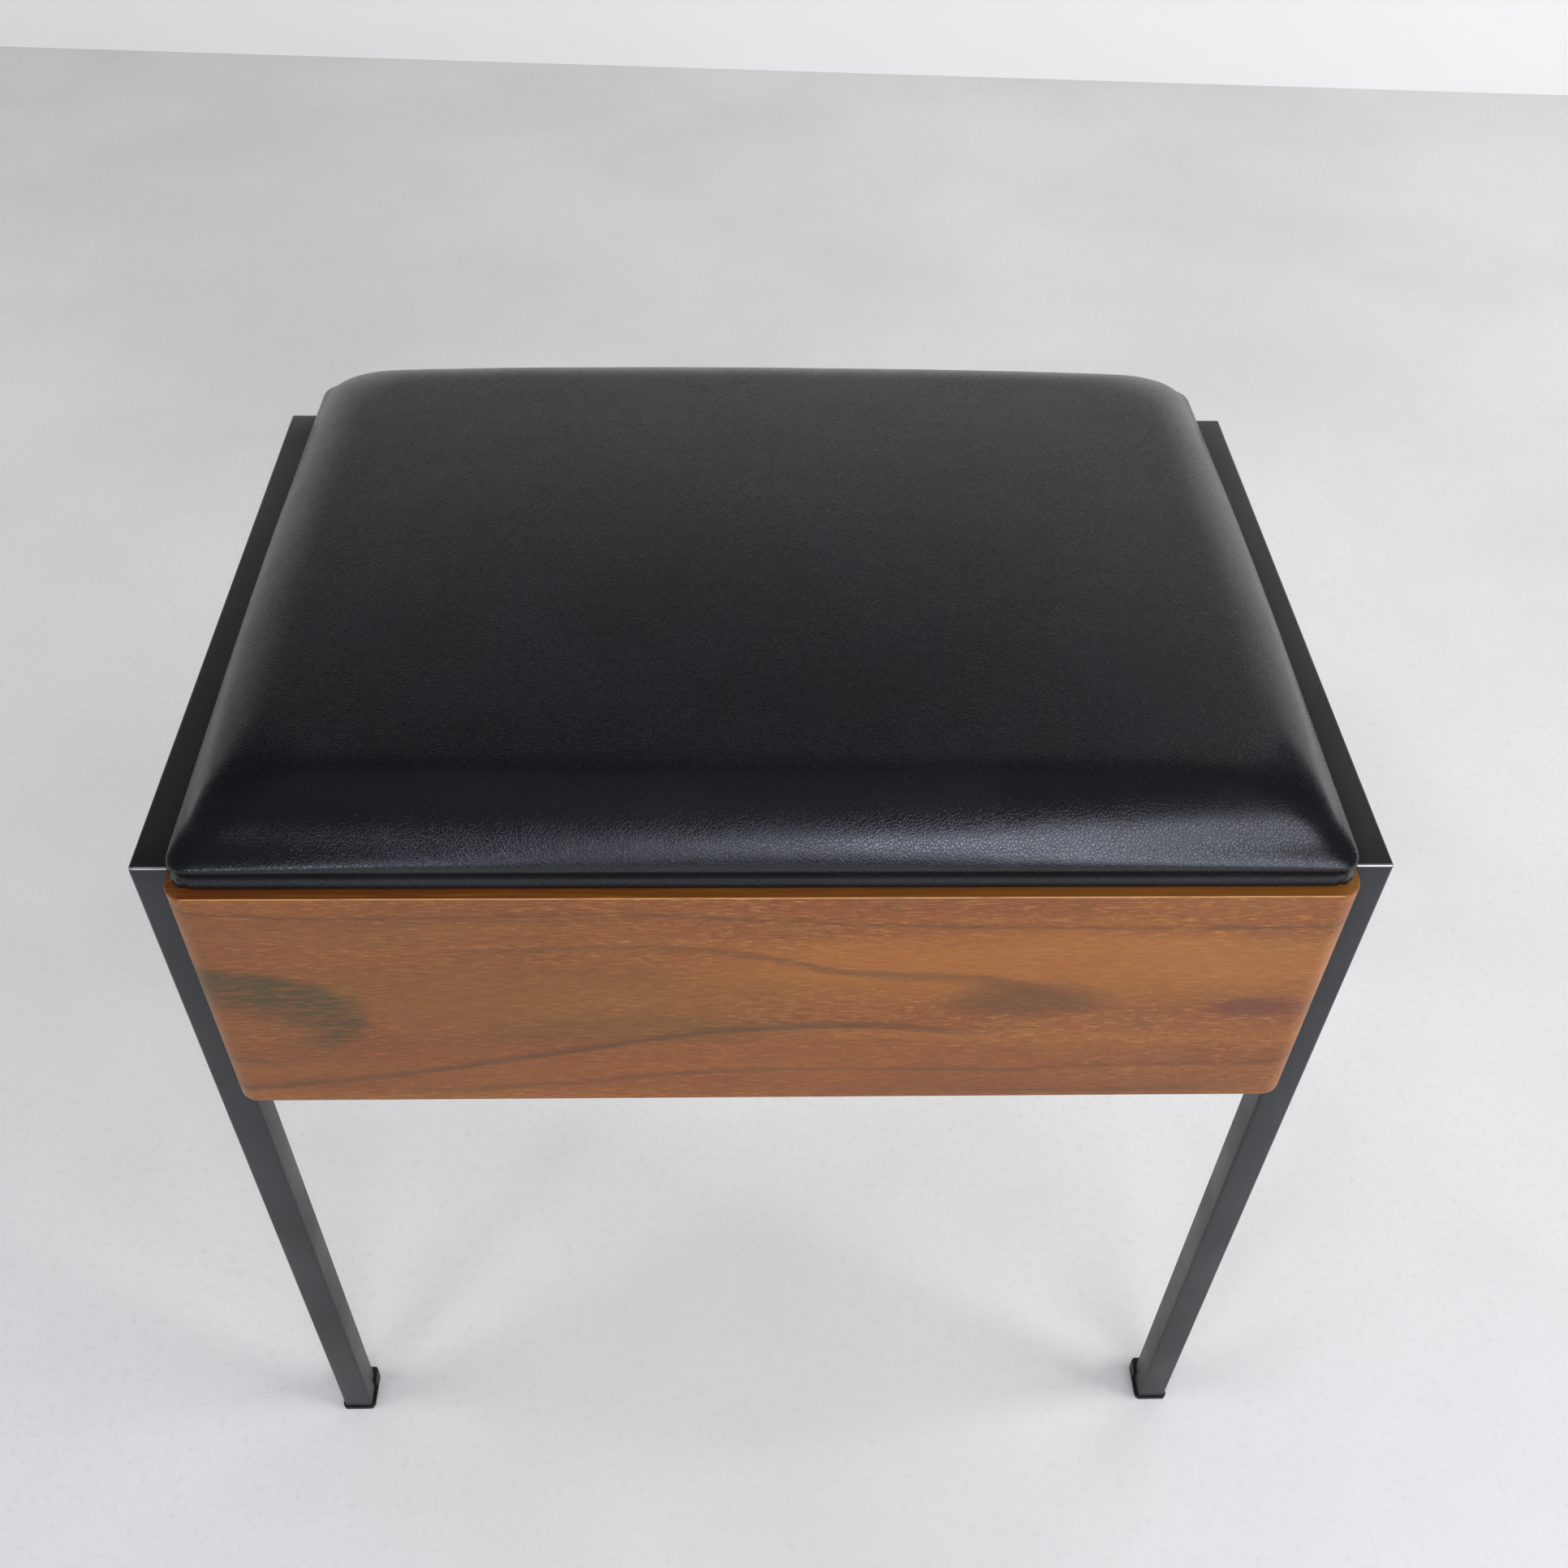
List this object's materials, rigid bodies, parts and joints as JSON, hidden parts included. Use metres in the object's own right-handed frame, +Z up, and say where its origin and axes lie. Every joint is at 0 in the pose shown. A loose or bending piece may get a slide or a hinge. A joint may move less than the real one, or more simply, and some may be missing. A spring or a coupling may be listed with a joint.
{
  "type": "sewing stool",
  "caption": "Stool with a wooden sewing box hung in a steel tube frame, a padded lid that hinges up as the seat and a tray that slides inside.",
  "frame": {"origin": "on the floor, midway between the four feet, under the middle of the box", "axes": "+Z up, -Y towards the front, +X to the right of someone facing the front"},
  "size_m": [0.4626, 0.33, 0.488],
  "materials": {
    "frame_paint": "satin",
    "foot_plastic": "satin",
    "screw_steel": "satin",
    "teak_veneer": "satin",
    "plywood": "matte",
    "hardwood": "satin",
    "brass_hinge": "satin",
    "leather_cloth": "satin",
    "foam": "matte",
    "lining_cloth": "matte",
    "staple_wire": "satin",
    "tray_wood": "satin"
  },
  "bodies": {
    "frame_and_box": {"left_top_rail": "frame_paint", "right_top_rail": "frame_paint", "left_front_leg": "frame_paint", "left_rear_leg": "frame_paint", "right_front_leg": "frame_paint", "right_rear_leg": "frame_paint", "left_front_foot": "foot_plastic", "left_rear_foot": "foot_plastic", "right_front_foot": "foot_plastic", "right_rear_foot": "foot_plastic", "frame_screws": "screw_steel", "box_front": "teak_veneer", "box_back": "teak_veneer", "box_left_side": "teak_veneer", "box_right_side": "teak_veneer", "box_bottom": "plywood", "box_dowels": "hardwood", "front_runner": "hardwood", "rear_runner": "hardwood", "left_hinge_box_leaf": "brass_hinge", "right_hinge_box_leaf": "brass_hinge", "left_hinge_pin": "brass_hinge", "right_hinge_pin": "brass_hinge", "hinge_box_screws": "brass_hinge"},
    "lid": {"left_hinge_lid_leaf": "brass_hinge", "right_hinge_lid_leaf": "brass_hinge", "hinge_lid_screws": "brass_hinge", "lid_board": "plywood", "seat_foam": "foam", "seat_cover": "leather_cloth", "cover_staples": "staple_wire", "lid_lining": "lining_cloth", "lining_staples": "staple_wire"},
    "tray": {"tray_front": "tray_wood", "tray_rear": "tray_wood", "tray_left_end": "tray_wood", "tray_right_end": "tray_wood", "tray_bottom": "plywood", "tray_long_divider": "tray_wood", "tray_cross_dividers": "tray_wood", "thread_pegs": "hardwood"}
  },
  "joints": [
    {"name": "lid_hinge", "type": "hinge", "parent": "frame_and_box", "child": "lid", "pos_m": [0, 0.1629, 0.4484], "axis": [-1, 0, 0], "range_deg": [0, 100]},
    {"name": "tray_slide", "type": "slide", "parent": "frame_and_box", "child": "tray", "axis": [1, 0, 0], "range_m": [0, 0.206]}
  ]
}
